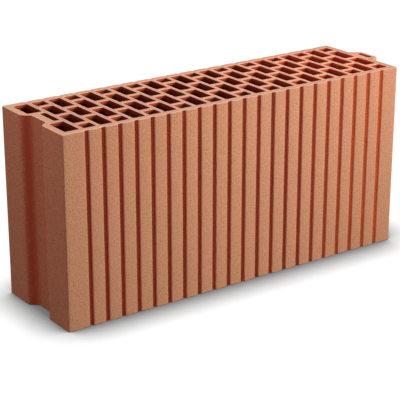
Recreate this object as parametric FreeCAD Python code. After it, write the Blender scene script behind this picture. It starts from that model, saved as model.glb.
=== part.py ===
import FreeCAD, Part

import math
import os

# Hollow clay block for partition walls: one extruded and fired piece, laid with its cells
# upright. A tapered tongue on one end enters the recess in the end of the next block.
# All sizes are in millimetres.

# The body without its tongue
body_length = 497.0
body_width = 140.0
body_height = 238.0
corner_radius = 2.0

# Walls: the long outer shells, the two end walls, and the webs inside
shell = 9.5
end_wall = 9.0
column_web = 5.2
row_web = 5.9

# Cells stand in columns along the body. Odd columns have a web on each side of the middle,
# and even columns have one on the middle line too, so the webs are staggered.
column_pitch = 21.9
row_pitch = 41.1
least_cell = 6.0
cell_corner_cut = 1.3

# Recess in the -X end. The first middle cell gives way to it and is narrow.
recess_depth = 10.0
recess_clearance = 0.8
recess_radius = 3.0
recess_wall = 10.2

# Tongue on the +X end, with a small cell of its own. Its tip touches the bottom of the next
# block's recess and leaves the joint gap open between the two end faces.
joint_gap = 4.0
tongue_root = 48.0
tongue_tip = 31.0
tongue_radius = 3.0
tongue_cell_length = 24.0
tongue_cell_width = 7.0
tongue_tip_wall = 4.5

# Shallow keying grooves down both long faces, one in front of each web
groove_width = 5.5
groove_depth = 1.5
groove_shift = 1.0

# Places along X, with the middle of the whole length, tongue included, at zero
tongue_reach = recess_depth + joint_gap
left_end = -(body_length + tongue_reach) / 2
right_end = left_end + body_length
tip_end = right_end + tongue_reach
half_width = body_width / 2
cell_width = column_pitch - column_web
last_cell_end = right_end - end_wall
first_cell_start = left_end + end_wall
column_count = int((last_cell_end - first_cell_start + column_web) / column_pitch)


def rounded_wire(corners):
    """Closed wire through (x, y, radius) corners. A corner with a radius gets a tangent arc."""
    count = len(corners)
    points = [FreeCAD.Vector(x, y, 0) for x, y, radius in corners]
    arcs = []
    for i in range(count):
        here = points[i]
        radius = corners[i][2]
        back = (points[i - 1] - here).normalize()
        ahead = (points[(i + 1) % count] - here).normalize()
        half_angle = back.getAngle(ahead) / 2
        reach = radius / math.tan(half_angle)
        inward = (back + ahead).normalize()
        middle = here + inward * (radius / math.sin(half_angle) - radius)
        arcs.append((here + back * reach, middle, here + ahead * reach))
    edges = []
    for i in range(count):
        start, middle, end = arcs[i]
        if corners[i][2] > 0:
            edges.append(Part.Arc(start, middle, end).toShape())
        edges.append(Part.LineSegment(end, arcs[(i + 1) % count][0]).toShape())
    return Part.Wire(edges)


def cell_wire(x_from, x_to, y_from, y_to):
    """Rectangle of one cell, with its corners cut as the die's cores have them."""
    cut = min(cell_corner_cut, 0.3 * (x_to - x_from), 0.3 * (y_to - y_from))
    outline = [
        (x_from + cut, y_from),
        (x_to - cut, y_from),
        (x_to, y_from + cut),
        (x_to, y_to - cut),
        (x_to - cut, y_to),
        (x_from + cut, y_to),
        (x_from, y_to - cut),
        (x_from, y_from + cut),
    ]
    return Part.makePolygon([FreeCAD.Vector(x, y, 0) for x, y in outline + outline[:1]])


def row_spans(web_shift):
    """Cell spans across the width, between webs at web_shift plus multiples of the pitch."""
    inner = half_width - shell
    reach = inner - least_cell - row_web / 2
    first = math.ceil((-reach - web_shift) / row_pitch)
    last = math.floor((reach - web_shift) / row_pitch)
    edges = [-inner]
    for step in range(first, last + 1):
        web_middle = web_shift + step * row_pitch
        edges += [web_middle - row_web / 2, web_middle + row_web / 2]
    edges.append(inner)
    return list(zip(edges[0::2], edges[1::2]))


def column_span(column):
    """Start and end of a column along X, columns counted from 0 at the recess end."""
    end = last_cell_end - (column_count - 1 - column) * column_pitch
    start = first_cell_start if column == 0 else end - cell_width
    return start, end


def cell_wires():
    """All cells of the body. The middle cell of the first column starts behind the recess."""
    wires = []
    for column in range(column_count):
        x_from, x_to = column_span(column)
        web_shift = row_pitch / 2 if column % 2 == 0 else 0.0
        for y_from, y_to in row_spans(web_shift):
            behind_recess = column == 0 and y_from < 0 < y_to
            start = left_end + recess_depth + recess_wall if behind_recess else x_from
            wires.append(cell_wire(start, x_to, y_from, y_to))
    return wires


def tongue_cell_wire():
    """Small cell inside the tongue."""
    x_to = tip_end - tongue_tip_wall
    half = tongue_cell_length / 2
    return cell_wire(x_to - tongue_cell_width, x_to, -half, half)


def groove_middles():
    """Middle of each keying groove along X: one by each web between two columns."""
    return [column_span(column)[1] + column_web / 2 + groove_shift
            for column in range(column_count - 1)]


def face_corners(side):
    """Corners of one long face with its grooves, from -X to +X. Side is -1 or +1."""
    outer = side * half_width
    inner = side * (half_width - groove_depth)
    half = groove_width / 2
    corners = [(left_end, outer, corner_radius)]
    for middle in groove_middles():
        corners += [
            (middle - half, outer, 0.0),
            (middle - half, inner, 0.0),
            (middle + half, inner, 0.0),
            (middle + half, outer, 0.0),
        ]
    corners.append((right_end, outer, corner_radius))
    return corners


def outline_wire():
    """Outer outline: front face, tongue, back face, recess."""
    mouth = tongue_root / 2 + recess_clearance
    bottom = tongue_tip / 2 + recess_clearance
    bottom_x = left_end + recess_depth
    tongue = [
        (right_end, -tongue_root / 2, tongue_radius),
        (tip_end, -tongue_tip / 2, tongue_radius),
        (tip_end, tongue_tip / 2, tongue_radius),
        (right_end, tongue_root / 2, tongue_radius),
    ]
    recess = [
        (left_end, mouth, recess_radius),
        (bottom_x, bottom, recess_radius),
        (bottom_x, -bottom, recess_radius),
        (left_end, -mouth, recess_radius),
    ]
    return rounded_wire(face_corners(-1) + tongue + face_corners(1)[::-1] + recess)


def clay_block():
    """Section with all its cells, pushed up to the height of the block."""
    wires = [outline_wire()] + cell_wires() + [tongue_cell_wire()]
    section = Part.makeFace(wires, "Part::FaceMakerBullseye")
    return section.extrude(FreeCAD.Vector(0, 0, body_height))


os.makedirs("parts", exist_ok=True)
block = clay_block()
if block.ShapeType != "Solid":
    block = block.Solids[0]
block.exportStep("parts/clay_block.step")
print("columns", column_count, "cells", len(cell_wires()) + 1, "grooves per face", len(groove_middles()))
print("volume", round(block.Volume / 1e6, 3), "litres, solids", len(block.Solids), "valid", block.isValid())
print("box", block.BoundBox)
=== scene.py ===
import math

import bpy
import numpy as np
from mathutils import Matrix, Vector
from mathutils.geometry import delaunay_2d_cdt


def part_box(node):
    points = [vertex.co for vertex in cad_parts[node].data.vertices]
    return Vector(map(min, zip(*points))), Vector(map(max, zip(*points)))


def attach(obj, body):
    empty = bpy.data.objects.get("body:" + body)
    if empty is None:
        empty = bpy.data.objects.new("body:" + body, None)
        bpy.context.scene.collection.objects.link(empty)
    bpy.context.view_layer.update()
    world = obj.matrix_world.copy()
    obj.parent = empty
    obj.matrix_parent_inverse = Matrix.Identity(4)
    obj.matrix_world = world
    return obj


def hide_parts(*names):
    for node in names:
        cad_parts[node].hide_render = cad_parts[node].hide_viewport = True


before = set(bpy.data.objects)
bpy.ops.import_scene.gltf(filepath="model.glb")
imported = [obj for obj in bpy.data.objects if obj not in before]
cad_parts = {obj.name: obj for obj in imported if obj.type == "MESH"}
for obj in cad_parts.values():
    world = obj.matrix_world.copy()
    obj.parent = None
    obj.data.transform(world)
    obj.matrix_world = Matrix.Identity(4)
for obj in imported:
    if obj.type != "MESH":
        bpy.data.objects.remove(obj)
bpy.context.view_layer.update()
mm = 0.001

# The clay block: one extruded and fired piece. Sizes in millimetres, as the die and the wire leave them.
block = {
    "endWall": 9.0,
    "shell": 9.5,
    "columnWeb": 5.2,
    "rowWeb": 5.9,
    "columnPitch": 21.9,
    "rowPitch": 41.1,
    "columns": 22,
    "leastCell": 6.0,
    "cellRadius": 1.8,
    "tongueReach": 14.0,
    "tongueRoot": 48.0,
    "tongueTip": 31.0,
    "tongueRadius": 3.0,
    "tongueCell": (24.0, 7.0),
    "tongueTipWall": 4.5,
    "recessDepth": 10.0,
    "recessClearance": 0.8,
    "recessRadius": 3.0,
    "recessWall": 10.2,
    "bodyRadius": 2.0,
    "grooveWidth": 5.5,
    "grooveDepth": 1.5,
    "grooveShift": 1.0,
    "grooveRadius": 1.15,
    "grooveFlare": 0.6,
    # The cut edges are rounded by the arris, and the first row of points on the flat is rimBand from them
    "arris": 0.5,
    "rimBand": 1.9,
    # An arc takes at most arcShare of a side, and is no tighter than leastRadius
    "arcShare": 0.49,
    "leastRadius": 0.3,
    # Steps along an arc, a wall and the height, and the extra rows close to the cut faces
    "arcSteps": 4,
    "wallStep": 7.0,
    "heightSteps": 15,
    "edgeRows": (1.5, 6.0),
    # The walls wander by drift. Chips drop the edges by up to chipDrop where their wave passes chipFrom.
    # Waves: how many, the shortest and the longest.
    "drift": 0.22,
    "driftWaves": (9, 45.0, 160.0),
    "chipDrop": 0.55,
    "chipFrom": 0.28,
    "chipSteepness": 3.0,
    "chipWaves": (14, 5.0, 22.0),
    # Painted shade in the recess, a saturated red: its middle is the share below of the way into the recess,
    # on its slanted side, and it fades over the spread below. The rest of the recess gets the next share at
    # its bottom and a little past it.
    "paintedRecessShadePlace": 0.35,
    "paintedRecessShadeSpread": 4.8,
    "recessPaintedShade": 0.3,
    "recessPaintedShadePast": 1.0,
    "seed": 11,
}


def sectionPlaces():
    # Places along X, half of the width and the height in millimetres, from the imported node's own corners
    low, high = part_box("clay_block")
    leftEnd, tipEnd = low.x / mm, high.x / mm
    rightEnd = tipEnd - block["tongueReach"]
    return leftEnd, rightEnd, tipEnd, high.y / mm, high.z / mm


leftEnd, rightEnd, tipEnd, halfWidth, height = sectionPlaces()


def columnSpan(column):
    # Columns of cells are counted from the recess end and spaced back from the tongue end
    end = rightEnd - block["endWall"] - (block["columns"] - 1 - column) * block["columnPitch"]
    start = leftEnd + block["endWall"] if column == 0 else end - block["columnPitch"] + block["columnWeb"]
    return start, end


def rowSpans(webShift):
    # Cells across the width, between webs at webShift plus multiples of the pitch
    inner = halfWidth - block["shell"]
    reach = inner - block["leastCell"] - block["rowWeb"] / 2
    first = math.ceil((-reach - webShift) / block["rowPitch"])
    last = math.floor((reach - webShift) / block["rowPitch"])
    webs = webShift + np.arange(first, last + 1) * block["rowPitch"]
    halfWeb = block["rowWeb"] / 2
    return np.sort(np.concatenate([[-inner, inner], webs - halfWeb, webs + halfWeb])).reshape(-1, 2)


def outerCorners():
    # (x, y, radius), anticlockwise, so the clay is on the left
    lip, bottom = block["grooveRadius"] / 2, block["grooveRadius"]
    half, lean = block["grooveWidth"] / 2, block["grooveFlare"] / 2
    inner = block["grooveDepth"] - halfWidth
    front = [(leftEnd, -halfWidth, block["bodyRadius"])]
    for column in range(block["columns"] - 1):
        middle = columnSpan(column)[1] + block["columnWeb"] / 2 + block["grooveShift"]
        front += [(middle - half - lean, -halfWidth, lip), (middle - half + lean, inner, bottom)]
        front += [(middle + half - lean, inner, bottom), (middle + half + lean, -halfWidth, lip)]
    front.append((rightEnd, -halfWidth, block["bodyRadius"]))
    back = [(x, -y, radius) for x, y, radius in front[::-1]]
    root, tip = block["tongueRoot"] / 2, block["tongueTip"] / 2
    gap = block["recessClearance"]
    bottomX = leftEnd + block["recessDepth"]
    tongue = [(rightEnd, -root, block["tongueRadius"]), (tipEnd, -tip, block["tongueRadius"])]
    tongue += [(tipEnd, tip, block["tongueRadius"]), (rightEnd, root, block["tongueRadius"])]
    recess = [(leftEnd, root + gap, block["recessRadius"]), (bottomX, tip + gap, block["recessRadius"])]
    recess += [(bottomX, -tip - gap, block["recessRadius"]), (leftEnd, -root - gap, block["recessRadius"])]
    return np.array(front + tongue + back + recess)


def cellCorners():
    # Each cell clockwise, so the clay is again on the left. The cell behind the recess is narrower.
    behindRecess = leftEnd + block["recessDepth"] + block["recessWall"]
    cells = []
    for column in range(block["columns"]):
        start, end = columnSpan(column)
        for low, high in rowSpans(block["rowPitch"] / 2 if column % 2 == 0 else 0.0):
            isBehind = column == 0 and low < 0 < high
            cells.append((behindRecess if isBehind else start, end, low, high))
    wide, deep = block["tongueCell"]
    tongueCellEnd = tipEnd - block["tongueTipWall"]
    cells.append((tongueCellEnd - deep, tongueCellEnd, -wide / 2, wide / 2))
    radius = block["cellRadius"]
    return [
        np.array([(x0, y0, radius), (x0, y1, radius), (x1, y1, radius), (x1, y0, radius)])
        for x0, x1, y0, y1 in cells
    ]


def loopAt(corners, inset):
    # Outline moved into the clay by the inset. A corner slides along the bisector of its two sides, and its
    # arc keeps its centre: radius less the inset where the clay turns left, plus it where it turns right,
    # but no arc takes more than half of a side, and none is so tight that the drift would turn it over.
    # A point of an arc is its centre plus the spoke, turned by a share of the corner's angle.
    # Points: arcSteps + 1 on each arc, then even ones on the side to the next arc, as many at any inset.
    point, radius = corners[:, :2], corners[:, 2]
    side = np.roll(point, -1, 0) - point
    length = np.linalg.norm(side, axis=1)
    along = side / length[:, None]
    before = np.roll(along, 1, 0)
    turn = before[:, 0] * along[:, 1] - before[:, 1] * along[:, 0]
    cosine = (before * along).sum(1)
    left = np.stack([-along[:, 1], along[:, 0]], 1)
    leftBefore = np.roll(left, 1, 0)
    moved = point + (left + leftBefore) * (inset / (1 + cosine))[:, None]
    angle = np.arctan2(turn, cosine)
    perRadius = np.tan(np.abs(angle) / 2)
    room = np.linalg.norm(np.roll(moved, -1, 0) - moved, axis=1)
    room = np.minimum(room, np.roll(room, 1)) * block["arcShare"]
    newRadius = np.maximum(radius - np.sign(turn) * inset, block["leastRadius"])
    newRadius = np.minimum(newRadius, room / perRadius)
    toCentre = np.sign(turn)[:, None] * leftBefore
    spoke = -toCentre * newRadius[:, None]
    centre = moved - before * (newRadius * perRadius)[:, None] - spoke
    swing = angle[:, None] * np.linspace(0, 1, block["arcSteps"] + 1)
    cosSwing, sinSwing = np.cos(swing)[..., None], np.sin(swing)[..., None]
    spokeAcross = np.stack([-spoke[:, 1], spoke[:, 0]], 1)
    arc = centre[:, None] + spoke[:, None] * cosSwing + spokeAcross[:, None] * sinSwing
    outward = before[:, None] * sinSwing - leftBefore[:, None] * cosSwing

    pieces = np.maximum(np.round(length / block["wallStep"]).astype(int), 1)
    count = block["arcSteps"] + pieces
    corner = np.repeat(np.arange(len(corners)), count)
    step = np.arange(count.sum()) - np.repeat(np.cumsum(count) - count, count)
    onArc = np.minimum(step, block["arcSteps"])
    part = ((step - onArc) / pieces[corner])[:, None]
    start, end = arc[corner, onArc], arc[(corner + 1) % len(corners), 0]
    return start + (end - start) * part, np.where(part > 0, -left[corner], outward[corner, onArc])


def softWaves(points, rng, waves, shortest, longest):
    # Mean of plane sine waves in random directions, each of a random length between two sizes in mm. It runs
    # from -1 to 1.
    direction = rng.normal(size=(waves, 3))
    direction /= np.linalg.norm(direction, axis=1)[:, None]
    stretch = 2 * np.pi / rng.uniform(shortest, longest, waves)
    phase = rng.uniform(0, 2 * np.pi, waves)
    return np.sin(points @ (direction * stretch[:, None]).T + phase).mean(1)


def heightRings():
    # (inset, z, share of a chip's drop, rim) from the bottom cut face up the wall to the top cut face. Each
    # edge is a quarter circle, from the flat with half of the drop to the wall with all of it.
    arris = block["arris"]
    bottom = [(block["rimBand"], 0.0, 0.0, 0.0)]
    for angle in np.radians([0, 30, 60, 90]):
        fallen = 1 - math.cos(angle)
        bottom.append((arris * (1 - math.sin(angle)), arris * fallen, (1 + fallen) / 2, 1 - fallen))
    bottom += [(0.0, z, 0.0, 0.0) for z in block["edgeRows"]]
    wall = [(0.0, z, 0.0, 0.0) for z in np.linspace(0, height, block["heightSteps"] + 1)[1:-1]]
    top = [(inset, height - z, chip, rim) for inset, z, chip, rim in bottom[::-1]]
    return np.array(bottom + wall + top)


def depthInGroove(points):
    # 0 at the long faces and 1 at the bottom of a groove. The ends, and the recess further in than
    # deepest grooves, count as no groove.
    x, y = points.T
    down = (halfWidth - np.abs(y)) / block["grooveDepth"]
    endBand, deepest = 2 * block["bodyRadius"], 1.5
    grooved = (x > leftEnd + endBand) & (x < rightEnd - endBand) & (down < deepest)
    return np.clip(down, 0, 1) * grooved


def paintedRecessShadeAt(verts):
    # Painted shade in the recess: a bell curve round its slanted side, plus a share that grows with the depth
    # in the recess
    middleX = leftEnd + block["recessDepth"] * block["paintedRecessShadePlace"]
    middleY = (block["tongueRoot"] + block["tongueTip"]) / 4
    away = ((verts[:, :2] - np.array([middleX, middleY])) ** 2).sum(1)
    paintedRecessShade = np.exp(-away / (2 * block["paintedRecessShadeSpread"] ** 2))
    into = verts[:, 0] - leftEnd
    inRecess = np.abs(verts[:, 1]) < block["tongueRoot"] / 2
    inRecess &= into < block["recessDepth"] + block["recessPaintedShadePast"]
    return paintedRecessShade + block["recessPaintedShade"] * inRecess * into / block["recessDepth"]


def wallOf(corners, rings, rng, isCell):
    # A loop of the section carried up the height, one row of points for each ring. Drift moves the walls of
    # a cell both ways along their normals, and the outer walls only inwards, so the block keeps its size.
    loops = [loopAt(corners, inset) for inset in rings[:, 0]]
    flat, normal = np.stack([points for points, normals in loops]), loops[0][1]
    count = flat.shape[1]
    z = np.repeat(rings[:, 1, None], count, 1)
    place = np.concatenate([flat, z[..., None]], 2)
    wave = softWaves(place.reshape(-1, 3), rng, *block["driftWaves"]).reshape(len(rings), count)
    wave = wave if isCell else np.abs(wave)
    place[..., :2] -= normal[None] * (block["drift"] * wave)[..., None]
    biteBottom = softWaves(place[0], rng, *block["chipWaves"])
    biteTop = softWaves(place[-1], rng, *block["chipWaves"])
    isBottom = rings[:, 1, None] < height / 2
    bite = np.where(isBottom, biteBottom, biteTop) - block["chipFrom"]
    drop = np.clip(bite * block["chipSteepness"], 0, 1) * block["chipDrop"] * rings[:, 2, None]
    place[..., 2] += np.where(isBottom, drop, -drop)
    deep = np.zeros(count) if isCell else depthInGroove(flat[len(rings) // 2])
    return place, np.repeat(deep[None], len(rings), 0), np.repeat(rings[:, 3, None], count, 1)


def blockMesh():
    # All walls as grids of quads, then the two cut faces as flat sheets with the cells left open. For the
    # material, inner is 1 in the cells, rim is 1 where a cut face turns into an edge and 0 on the walls and
    # masks the painted highlight there, and below is the distance in mm to the nearer cut face, which sets
    # the painted shade in the cells.
    rng = np.random.default_rng(block["seed"])
    rings = heightRings()
    verts, quads, depth, rim, inner, loops = [], [], [], [], [], []
    first = 0
    for index, corners in enumerate([outerCorners()] + cellCorners()):
        place, depths, rims = wallOf(corners, rings, rng, index > 0)
        count = place.shape[1]
        grid = first + np.arange(place.shape[0] * count).reshape(-1, count)
        across = np.roll(grid, -1, 1)
        quads.append(np.stack([grid[:-1], across[:-1], across[1:], grid[1:]], -1).reshape(-1, 4))
        verts.append(place.reshape(-1, 3))
        depth.append(depths.ravel())
        rim.append(rims.ravel())
        inner.append(np.full(depths.size, float(index > 0)))
        loops.append((grid[0], grid[-1]))
        first += place.shape[0] * count
    verts, quads = np.concatenate(verts), np.concatenate(quads)
    triangles = [cutFace(verts, [bottom for bottom, top in loops], False)]
    triangles.append(cutFace(verts, [top for bottom, top in loops], True))
    attributes = {"deep": np.concatenate(depth), "rim": np.concatenate(rim), "inner": np.concatenate(inner)}
    attributes["below"] = np.minimum(verts[:, 2], height - verts[:, 2])
    # The painted shade in the recess, as a weight on each point
    attributes["paintedRecessShade"] = paintedRecessShadeAt(verts)
    return verts, quads, np.concatenate(triangles), attributes


def cutFace(verts, loops, isTop):
    # Constrained Delaunay triangles over all the points of one cut face. The clay lies on the left of every
    # loop, so a triangle with all its corners on one loop is clay only if they turn left in the loop's order.
    index = np.concatenate(loops)
    points = verts[index, :2]
    starts = np.cumsum([0] + [len(loop) for loop in loops])
    follows = [np.roll(np.arange(a, b), -1) for a, b in zip(starts[:-1], starts[1:])]
    edges = np.stack([np.arange(len(index)), np.concatenate(follows)], 1)
    wholeHull, tolerance = 0, 1e-5
    spots = [Vector(p) for p in points.tolist()]
    made = delaunay_2d_cdt(spots, edges.tolist(), [], wholeHull, tolerance)
    source = np.array([ids[0] for ids in made[3]])
    corners = np.sort(source[np.array(made[2])], axis=1)
    owner = np.searchsorted(starts, corners, side="right")
    a, b, c = (points[corners[:, k]] for k in range(3))
    turn = (b[:, 0] - a[:, 0]) * (c[:, 1] - a[:, 1]) - (b[:, 1] - a[:, 1]) * (c[:, 0] - a[:, 0])
    clay = (owner.min(1) != owner.max(1)) | (turn > 0)
    corners, turn = corners[clay], turn[clay]
    flip = (turn > 0) != isTop
    corners[flip] = corners[flip][:, ::-1]
    return index[corners]


def makeClayObject(name, verts, quads, triangles, attributes):
    # Smooth walls of quads and flat cut faces of triangles in one mesh, with its attributes on the points
    mesh = bpy.data.meshes.new(name)
    loopVerts = np.concatenate([quads.ravel(), triangles.ravel()]).astype(np.int32)
    totals = np.concatenate([np.full(len(quads), 4), np.full(len(triangles), 3)])
    starts = np.cumsum(totals) - totals
    mesh.vertices.add(len(verts))
    mesh.vertices.foreach_set("co", (verts * mm).astype(np.float32).ravel())
    mesh.loops.add(len(loopVerts))
    mesh.loops.foreach_set("vertex_index", loopVerts)
    mesh.polygons.add(len(totals))
    mesh.polygons.foreach_set("loop_start", starts.astype(np.int32))
    mesh.update(calc_edges=True)
    mesh.polygons.foreach_set("use_smooth", totals == 4)
    for label, values in attributes.items():
        mesh.attributes.new(label, "FLOAT", "POINT").data.foreach_set("value", values.astype(np.float32))
    mesh.validate()
    clayObject = bpy.data.objects.new(name, mesh)
    bpy.context.scene.collection.objects.link(clayObject)
    return clayObject


def hexColour(code):
    # sRGB hex to linear RGBA
    srgb = np.array([int(code[i:i + 2], 16) for i in (1, 3, 5)]) / 255
    linear = np.where(srgb <= 0.04045, srgb / 12.92, ((srgb + 0.055) / 1.055) ** 2.4)
    return (*linear.tolist(), 1.0)


def addNode(tree, kind, inputs=None, **settings):
    # One node with its settings. Each input is a fixed value, or a socket of another node to link from.
    node = tree.nodes.new(kind)
    for name, value in settings.items():
        setattr(node, name, value)
    for name, value in (inputs or {}).items():
        if isinstance(value, bpy.types.NodeSocket):
            tree.links.new(value, node.inputs[name])
        else:
            node.inputs[name].default_value = value
    return node


def emptyTree(owner):
    # The node tree of a material or the world, cleared
    owner.use_nodes = True
    owner.node_tree.nodes.clear()
    return owner.node_tree


def layOver(tree, under, over, pattern, cover):
    # One colour laid over another. Cover says where on the pattern the upper one starts to show, where it
    # shows most, and how much of it shows there.
    start, full, most = cover
    reach = {"Value": pattern, "From Min": start, "From Max": full, "To Max": most}
    share = addNode(tree, "ShaderNodeMapRange", reach).outputs["Result"]
    return addNode(tree, "ShaderNodeMix", {0: share, 6: under, 7: over}, data_type="RGBA").outputs[2]


def whiteRays(tree):
    # 1 for the rays that should meet a white background: from the camera, in a reflection or through glass
    ray = addNode(tree, "ShaderNodeLightPath").outputs
    white = ray["Is Camera Ray"]
    for kind in ("Is Glossy Ray", "Is Transmission Ray"):
        white = addNode(tree, "ShaderNodeMath", {0: white, 1: ray[kind]}, operation="ADD").outputs[0]
    return white


# Fired extruded clay: iron-red body, dry and dull, with an open grain of sand and burnt-out sawdust.
# The die leaves a paler skin on the outer faces, and in the grooves the red is deeper. Inside the cells the
# red is painted darker with depth, and the walls that face along X darker still: painted shade. Towards the
# tongue the reds and the cut tops of the webs are painted brighter, each over its own span of X: painted
# light.
firedClay = {
    "skinTan": "#D5976D",
    "skinPink": "#D99573",
    # Redder end faces: partly a guessed end colour, partly the painted red cast of the shaded end
    "endSkinAndShadeRed": "#DF8564",
    "cut": "#DBA283",
    # Web tops: darker near the recess end and painted brighter towards the tongue, painted light
    "webTop": "#CA9074",
    "webTopFresh": "#FFB28E",
    # Painted highlight along the cut edges, with a brighter copy for the tongue end
    "rim": "#F4C6B2",
    "rimFresh": "#FFC2A8",
    "groove": "#782414",
    "grooveFresh": "#B84420",
    "grooveTorn": "#983620",
    "grooveTornFresh": "#EC6430",
    # Painted light: a lighter red for the groove side walls, to even out their shade
    "grooveWallPaintedLight": "#FFA27A",
    "cellLip": "#C86036",
    # Painted shade: the darker red of the walls that face along X, then the dark red deep in the cells, each
    # with its copy for the tongue end
    "webLip": "#8A2411",
    "webLipFresh": "#DA4E2E",
    "cellDeep": "#500A03",
    "cellDeepFresh": "#A42A12",
    # Painted shade: the saturated red of the shaded recess corner
    "paintedRecessShade": "#C64C30",
    "grainDark": "#96573A",
    "grainPale": "#EFC3A2",
    # Spans of X in mm over which each colour turns into its copy for the tongue end: painted light, brighter
    # and redder towards the tongue
    "litEndMm": {
        "webTop": (-250.0, 150.0),
        "rim": (10.0, 225.0),
        "webLip": (10.0, 225.0),
        "cellDeep": (10.0, 225.0),
        "groove": (75.0, 250.0),
        "grooveTorn": (75.0, 250.0),
    },
    # Patterns: their sizes, and how many finer noises ride on each. The real grain and drag marks are finer
    # than the render can show, so they are drawn coarser. The drag marks run up the block.
    "patchMm": 42.0,
    "patchDetail": 3.0,
    "grainMm": 1.7,
    "grainDetail": 2.0,
    "tornMm": 2.2,
    "tornDetail": 2.0,
    "dragMm": 2.6,
    "dragDetail": 2.0,
    "dragStretch": 0.06,
    "finerShare": 0.6,
    # How deep the lip's colour reaches into a cell before the painted shade takes over, on the webs along the
    # block and on those across it
    "lipMm": 6.5,
    "webLipMm": 6.0,
    # Shares of one pattern that are added to another
    "tornInPaintedShade": 0.9,
    "tornInGroove": 0.6,
    "dragInRelief": 0.5,
    # The cover of each layer: where its pattern starts to show it, where it shows most, and how much there
    "pinkCover": (0.36, 0.64, 1.0),
    "endSkinAndShadeCover": (0.3, 0.8, 1.0),
    "darkCover": (0.48, 0.3, 0.34),
    "paleCover": (0.52, 0.7, 0.34),
    "paintedRecessShadeCover": (0.5, 1.4, 0.9),
    "tornCover": (0.38, 0.66, 1.0),
    "grooveWallPaintedLightCover": (0.97, 0.7, 1.0),
    "grooveCover": (0.38, 0.55, 1.0),
    "webTopCover": (0.6, 1.0, 1.0),
    "cutCover": (0.5, 0.9, 1.0),
    "rimCover": (0.0, 1.0, 0.85),
    "allOverCover": (0.46, 0.3, 0.2),
    "plainCover": (0.0, 1.0, 1.0),
    "bumpMm": 0.28,
    "roughness": 0.9,
    "specular": 0.1,
}


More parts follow.
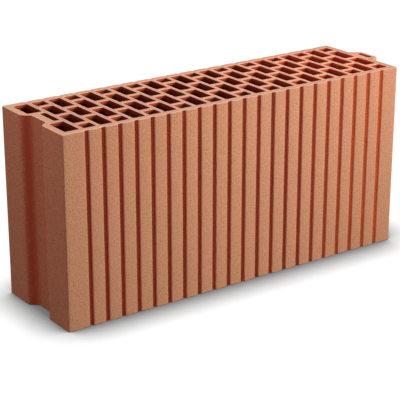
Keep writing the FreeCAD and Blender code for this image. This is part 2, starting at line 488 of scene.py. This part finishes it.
def firedClayMaterial():
    clay = firedClay
    colourOf = {name: hexColour(code) for name, code in clay.items() if isinstance(code, str)}
    material = bpy.data.materials.new("firedClay")
    tree = emptyTree(material)
    place = addNode(tree, "ShaderNodeTexCoord").outputs["Object"]
    alongX = addNode(tree, "ShaderNodeSeparateXYZ", {"Vector": place}).outputs["X"]
    # Painted light: each of these colours turns into its brighter copy towards the tongue end
    for name, (start, end) in clay["litEndMm"].items():
        cover = (start * mm, end * mm, 1.0)
        colourOf[name] = layOver(tree, colourOf[name], colourOf[name + "Fresh"], alongX, cover)

    dragScale = (1.0, 1.0, clay["dragStretch"])
    dragPlace = addNode(tree, "ShaderNodeMapping", {"Vector": place, "Scale": dragScale}).outputs["Vector"]
    pattern = {}
    for name in ("patch", "grain", "torn", "drag"):
        # A noise's scale is one over its size in metres
        inputs = {"Vector": dragPlace if name == "drag" else place, "Scale": 1.0 / (clay[name + "Mm"] * mm)}
        inputs = {**inputs, "Detail": clay[name + "Detail"], "Roughness": clay["finerShare"]}
        pattern[name] = addNode(tree, "ShaderNodeTexNoise", inputs).outputs["Fac"]
    for name in ("inner", "below", "deep", "rim", "paintedRecessShade"):
        pattern[name] = addNode(tree, "ShaderNodeAttribute", attribute_name=name).outputs["Fac"]
    normal = addNode(tree, "ShaderNodeNewGeometry").outputs["True Normal"]
    facing = addNode(tree, "ShaderNodeVectorMath", {0: normal}, operation="ABSOLUTE").outputs["Vector"]
    facing = addNode(tree, "ShaderNodeSeparateXYZ", {"Vector": facing}).outputs

    # Outer skin, with its grain and the painted shade in the recess
    skin = layOver(tree, colourOf["skinTan"], colourOf["skinPink"], pattern["patch"], clay["pinkCover"])
    # Redder on faces that face along X: partly the end's own colour, partly painted shade
    skin = layOver(tree, skin, colourOf["endSkinAndShadeRed"], facing["X"], clay["endSkinAndShadeCover"])
    skin = layOver(tree, skin, colourOf["grainDark"], pattern["grain"], clay["darkCover"])
    skin = layOver(tree, skin, colourOf["grainPale"], pattern["grain"], clay["paleCover"])
    # Painted shade in the recess, made ragged by the torn pattern
    parts = {0: pattern["torn"], 1: clay["tornInPaintedShade"], 2: pattern["paintedRecessShade"]}
    paintedRecessShade = addNode(tree, "ShaderNodeMath", parts, operation="MULTIPLY_ADD").outputs[0]
    skin = layOver(tree, skin, colourOf["paintedRecessShade"], paintedRecessShade, clay["paintedRecessShadeCover"])

    # Cells, painted shade: from the colour of the lip to a dark red over the lip's depth, with the walls
    # facing along X painted darker
    lipDepth = {"Value": facing["X"], "To Min": 1 / clay["lipMm"], "To Max": 1 / clay["webLipMm"]}
    perLip = addNode(tree, "ShaderNodeMapRange", lipDepth).outputs["Result"]
    # Painted shade: the dark colour grows with the distance below the cut face
    paintedShade = addNode(tree, "ShaderNodeMath", {0: pattern["below"], 1: perLip}, operation="MULTIPLY").outputs[0]
    cell = layOver(tree, colourOf["cellLip"], colourOf["webLip"], facing["X"], clay["plainCover"])
    cell = layOver(tree, cell, colourOf["cellDeep"], paintedShade, clay["plainCover"])
    colour = layOver(tree, skin, cell, pattern["inner"], clay["plainCover"])

    # Grooves: torn clay with a ragged edge, and painted light on the side walls, a lighter red that evens out
    # their shade
    groove = layOver(tree, colourOf["groove"], colourOf["grooveTorn"], pattern["torn"], clay["tornCover"])
    groove = layOver(tree, groove, colourOf["grooveWallPaintedLight"], pattern["deep"], clay["grooveWallPaintedLightCover"])
    parts = {0: pattern["torn"], 1: clay["tornInGroove"], 2: pattern["deep"]}
    ragged = addNode(tree, "ShaderNodeMath", parts, operation="MULTIPLY_ADD").outputs[0]
    colour = layOver(tree, colour, groove, ragged, clay["grooveCover"])

    # The wire's cut on the level faces, the web tops painted brighter towards the tongue as painted light,
    # a painted highlight along the cut edges, and a little dark grain over everything
    cut = layOver(tree, colourOf["cut"], colourOf["webTop"], pattern["inner"], clay["webTopCover"])
    colour = layOver(tree, colour, cut, facing["Z"], clay["cutCover"])
    colour = layOver(tree, colour, colourOf["rim"], pattern["rim"], clay["rimCover"])
    colour = layOver(tree, colour, colourOf["grainDark"], pattern["grain"], clay["allOverCover"])

    parts = {0: pattern["drag"], 1: clay["dragInRelief"], 2: pattern["grain"]}
    relief = addNode(tree, "ShaderNodeMath", parts, operation="MULTIPLY_ADD").outputs[0]
    inputs = {"Strength": 1.0, "Distance": clay["bumpMm"] * mm, "Height": relief}
    bumped = addNode(tree, "ShaderNodeBump", inputs).outputs["Normal"]
    inputs = {"Base Color": colour, "Normal": bumped, "Roughness": clay["roughness"]}
    shader = addNode(tree, "ShaderNodeBsdfPrincipled", {**inputs, "Specular IOR Level": clay["specular"]})
    addNode(tree, "ShaderNodeOutputMaterial", {"Surface": shader.outputs["BSDF"]})
    return material


# The studio: white floor that runs on as the background, a soft key lamp low on the front right, a small
# lamp over the recess end, one low behind the block, and an even fill. Places and sizes are in metres, and
# angles in degrees. The floor lies a hair under the block, so that their faces don't share a plane.
studio = {
    "floorHalf": 9.0,
    "floorZ": -0.0003,
    "floorColour": "#6A6A6A",
    "seenFloor": "#5A5A5A",
    "glow": 1.0,
    "shadowColour": "#6A6C6C",
    "shadowReach": 0.062,
    "shadowSamples": 16,
    # Painted shadow on the floor: black under the cells, then from the shadow colour to white round the block
    "cellFloorCover": (0.08, 0.45, 1.0),
    "glowCover": (0.5, 0.97, 1.0),
    "worldLight": 0.3,
    "keyWatts": 3.15,
    "keySize": 0.85,
    "keySpread": 45.0,
    "keyAim": (0.16, -0.07, 0.4),
    "keyPlace": (1.1, -1.12, 0.88),
    "topWatts": 1.2,
    "topSize": 0.3,
    "topSpread": 180.0,
    "topAim": (0.0, 0.0, 0.12),
    "topPlace": (-0.5, 0.0, 0.75),
    "backWatts": 6.0,
    "backSize": 0.8,
    "backSpread": 120.0,
    "backAim": (0.1, 0.07, 0.12),
    "backPlace": (0.45, 1.75, 0.42),
    "lensMm": 126.2,
    "sensorMm": 36.0,
    "yaw": 35.51,
    "pitch": 20.37,
    "cameraPlace": (-0.9810, -1.3462, 0.7051),
}


def floorPaint():
    # Matt paint for the light that falls on it. The camera gets a darker paint plus a glow that brings it to
    # white. The glow fades where the block stands over the floor, a painted contact shadow, and goes out at
    # the bottom of the cells, painted shade.
    material = bpy.data.materials.new("floorPaint")
    tree = emptyTree(material)
    black, white = (0.0, 0.0, 0.0, 1.0), (1.0, 1.0, 1.0, 1.0)
    paint = addNode(tree, "ShaderNodeBsdfDiffuse", {"Color": hexColour(studio["floorColour"])}).outputs[0]
    seen = addNode(tree, "ShaderNodeBsdfDiffuse", {"Color": hexColour(studio["seenFloor"])}).outputs[0]
    reach, samples = {"Distance": studio["shadowReach"]}, studio["shadowSamples"]
    openness = addNode(tree, "ShaderNodeAmbientOcclusion", reach, samples=samples).outputs["AO"]
    shadow = layOver(tree, black, hexColour(studio["shadowColour"]), openness, studio["cellFloorCover"])
    glowColour = layOver(tree, shadow, white, openness, studio["glowCover"])
    glow = addNode(tree, "ShaderNodeEmission", {"Color": glowColour, "Strength": studio["glow"]}).outputs[0]
    bright = addNode(tree, "ShaderNodeAddShader", {0: seen, 1: glow}).outputs[0]
    mixed = addNode(tree, "ShaderNodeMixShader", {0: whiteRays(tree), 1: paint, 2: bright}).outputs[0]
    addNode(tree, "ShaderNodeOutputMaterial", {"Surface": mixed})
    return material


def makeFloor():
    half = studio["floorHalf"]
    mesh = bpy.data.meshes.new("floor")
    corners = [(-half, -half, 0), (half, -half, 0), (half, half, 0), (-half, half, 0)]
    mesh.from_pydata(corners, [], [(0, 1, 2, 3)])
    mesh.materials.append(floorPaint())
    floor = bpy.data.objects.new("floor", mesh)
    floor.location.z = studio["floorZ"]
    bpy.context.scene.collection.objects.link(floor)


def makeWorld():
    # An even fill light, which the camera sees as plain white
    world = bpy.data.worlds.new("studioLight")
    bpy.context.scene.world = world
    tree = emptyTree(world)
    seen = {"Value": whiteRays(tree), "To Min": studio["worldLight"], "To Max": 1.0}
    strength = addNode(tree, "ShaderNodeMapRange", seen).outputs["Result"]
    light = addNode(tree, "ShaderNodeBackground", {"Color": (1.0, 1.0, 1.0, 1.0), "Strength": strength})
    addNode(tree, "ShaderNodeOutputWorld", {"Surface": light.outputs[0]})


def lookAlong(thing, place, direction):
    # Lamps and cameras look along their own -Z, with Y up
    thing.location = place
    thing.rotation_euler = Vector(direction).to_track_quat("-Z", "Y").to_euler()


def makeLamps():
    for name in ("key", "top", "back"):
        lamp = bpy.data.lights.new(name + "Lamp", "AREA")
        lamp.shape = "DISK"
        lamp.size = studio[name + "Size"]
        lamp.energy = studio[name + "Watts"]
        lamp.spread = math.radians(studio[name + "Spread"])
        lampObject = bpy.data.objects.new(name + "Lamp", lamp)
        bpy.context.scene.collection.objects.link(lampObject)
        place = Vector(studio[name + "Place"])
        lookAlong(lampObject, place, Vector(studio[name + "Aim"]) - place)


def makeCamera():
    # Yaw is counted from +Y towards +X, and pitch is downwards
    yaw, pitch = math.radians(studio["yaw"]), math.radians(studio["pitch"])
    camera = bpy.data.objects.new("camera", bpy.data.cameras.new("camera"))
    camera.data.lens = studio["lensMm"]
    camera.data.sensor_width = studio["sensorMm"]
    bpy.context.scene.collection.objects.link(camera)
    forward = (math.sin(yaw) * math.cos(pitch), math.cos(yaw) * math.cos(pitch), -math.sin(pitch))
    lookAlong(camera, studio["cameraPlace"], forward)
    bpy.context.scene.camera = camera


makeFloor()
makeWorld()
makeLamps()
makeCamera()
print("studio, lamps and camera made")
clayBody = makeClayObject("clayBody", *blockMesh())
clayBody.data.materials.append(firedClayMaterial())
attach(clayBody, "root")
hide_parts("clay_block")
print("clay block made:", len(clayBody.data.vertices), "points,", len(clayBody.data.polygons), "faces")

bpy.context.scene.view_settings.view_transform = "Standard"
